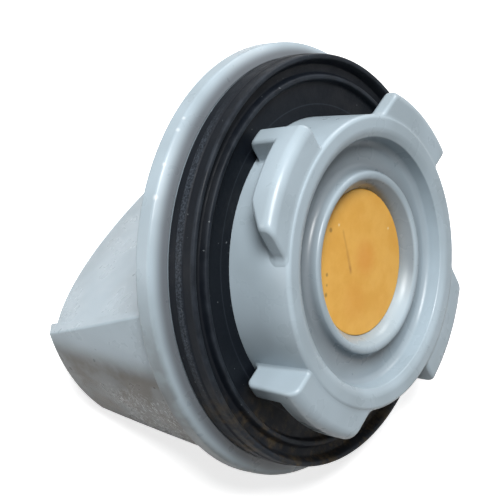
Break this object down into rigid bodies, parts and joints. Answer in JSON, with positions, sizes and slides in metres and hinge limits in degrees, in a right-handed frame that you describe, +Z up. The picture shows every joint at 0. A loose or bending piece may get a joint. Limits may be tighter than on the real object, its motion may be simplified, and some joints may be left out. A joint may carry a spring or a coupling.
{
  "type": "water tank cap",
  "caption": "Bayonet cap for a water tank's filler neck: round flange with a wedge-shaped finger grip, ribbed rubber gasket and a lugged ring round a coloured disc.",
  "frame": {"origin": "centre of the bounding box's bottom, on the ground that the cap lies on", "axes": "+Z up; +X along the grip's long way; the bayonet's axis lies in the YZ plane and points to -Y and up"},
  "size_m": [0.1, 0.09, 0.0851],
  "materials": {
    "grey_plastic": "satin",
    "black_rubber": "worn",
    "yellow_plastic": "matt",
    "steel": "plain",
    "brass": "plain"
  },
  "bodies": {
    "root": {"handle_cap": "grey_plastic", "bayonet_ring": "grey_plastic", "sealing_gasket": "black_rubber", "centre_disc": "yellow_plastic", "clamp_screw": "steel", "screw_washer": "steel", "thread_insert": "brass", "screw_seal": "black_rubber"}
  },
  "joints": []
}
